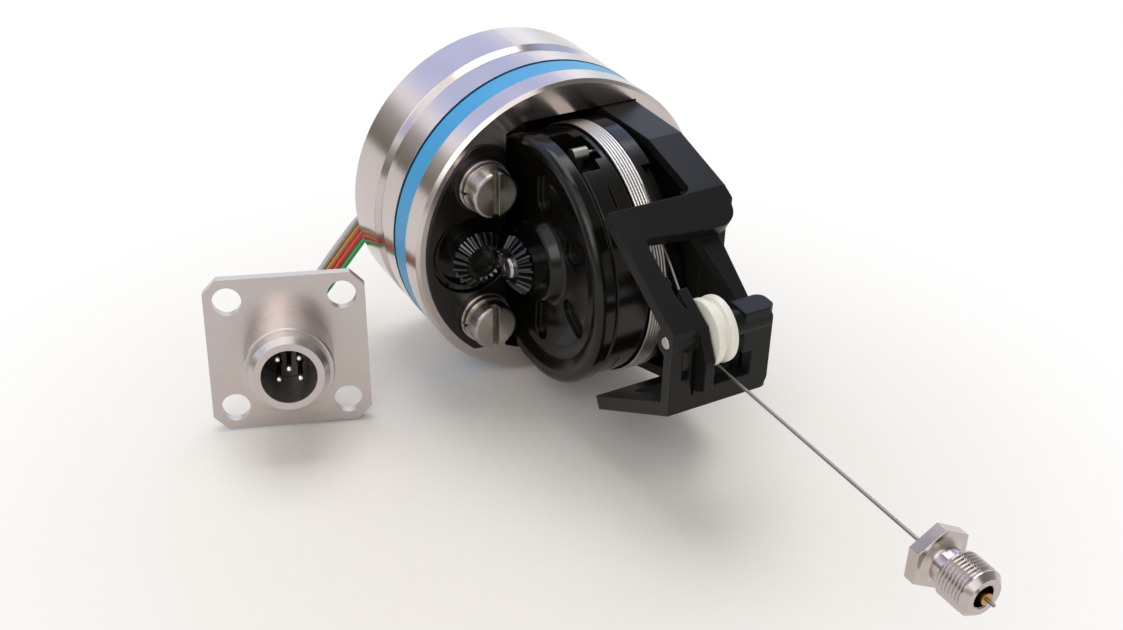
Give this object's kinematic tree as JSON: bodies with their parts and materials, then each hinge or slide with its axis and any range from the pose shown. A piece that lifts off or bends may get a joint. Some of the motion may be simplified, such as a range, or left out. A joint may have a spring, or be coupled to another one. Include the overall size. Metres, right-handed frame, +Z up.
{
  "type": "draw wire encoder",
  "caption": "Draw wire encoder in a round steel housing with a seal, spring-loaded wire drum, bevel gears to a sensor, guide frame with roller, threaded wire end and a flanged connector.",
  "frame": {"origin": "centre of the housing's rear face", "axes": "+X along the housing's axis and the wire, away from the rear face; +Y along the drum shaft, away from the bevel gears; +Z up, with the housing lying on its side"},
  "size_m": [0.124, 0.0779, 0.048],
  "materials": {
    "steel": "satin turned steel",
    "dark_steel": "fine turned steel",
    "blue_seal": "smooth blue sealing plastic",
    "rubber": "black rubber",
    "gloss_black": "glossy black moulding",
    "matte_black": "matte black moulding",
    "roller_white": "smooth off-white plastic",
    "wire": "fine stranded steel wire",
    "spring_steel": "blued strip",
    "brass": "satin brass",
    "magnet": "nickel-plated magnet",
    "board": "green solder resist",
    "chip": "moulded chip",
    "nickel": "satin nickel plating",
    "gold": "gold plating",
    "potting": "black resin",
    "lead_green": "green insulation",
    "lead_red": "red insulation",
    "lead_orange": "orange-brown insulation",
    "lead_white": "grey-white insulation"
  },
  "bodies": {
    "housing": {"housing_body": "steel", "seal_ring": "blue_seal", "seal_energiser": "rubber", "rear_cover": "dark_steel", "cover_screws": "dark_steel", "lead_grommet": "rubber", "circuit_board": "board", "sensor_board": "board", "sensor_chip": "chip", "gear_carrier": "gloss_black", "fixing_screws": "dark_steel", "lock_washers": "steel", "flat_washers": "steel", "sensor_bush": "brass", "power_spring": "spring_steel", "spring_arbor": "dark_steel", "shaft_bushes": "brass", "wire_lead_in": "wire", "guide_frame": "matte_black", "roller_pin": "dark_steel", "pin_spacers": "steel", "connector_shell": "nickel", "connector_insert": "gloss_black", "connector_contacts": "gold", "connector_gasket": "rubber", "connector_potting": "potting", "lead_green": "lead_green", "lead_red": "lead_red", "lead_orange": "lead_orange", "lead_white": "lead_white"},
    "drum_body": {"drum": "gloss_black", "end_disc": "gloss_black", "drum_gear": "gloss_black", "drum_shaft": "dark_steel", "shaft_clip": "spring_steel", "spring_cover": "gloss_black", "wire_winding": "wire", "wire_anchor": "steel"},
    "sensor_gear_body": {"sensor_gear": "gloss_black", "sensor_shaft": "dark_steel", "sensor_magnet": "magnet"},
    "roller_body": {"roller": "roller_white"},
    "wire_end": {"wire_run": "wire", "end_fitting": "dark_steel", "end_ferrule": "brass", "wire_tip": "wire"}
  },
  "joints": [
    {"name": "drum_spin", "type": "hinge", "parent": "housing", "child": "drum_body", "pos_m": [0.0296, 0, 0], "axis": [0, 1, 0], "range_deg": [-116.6, 2016]},
    {"name": "sensor_gear_spin", "type": "hinge", "parent": "housing", "child": "sensor_gear_body", "pos_m": [0.0254, -0.015, 0], "axis": [1, 0, 0], "range_deg": [-117.6, 2017]},
    {"name": "roller_spin", "type": "hinge", "parent": "housing", "child": "roller_body", "pos_m": [0.06243, 0, 0.00412], "axis": [0, 1, 0], "range_deg": [-9139.1, 529.5]},
    {"name": "wire_slide", "type": "slide", "parent": "housing", "child": "wire_end", "axis": [1, 0, 0], "range_m": [-0.0382, 0.6573], "deforming": ["wire_run"]}
  ],
  "couplings": [
    {"joint": "sensor_gear_spin", "follows": "drum_spin", "ratio": 1},
    {"joint": "roller_spin", "follows": "drum_spin", "ratio": -4.5328},
    {"joint": "wire_slide", "follows": "drum_spin", "m_per_rad": 0.018675}
  ]
}
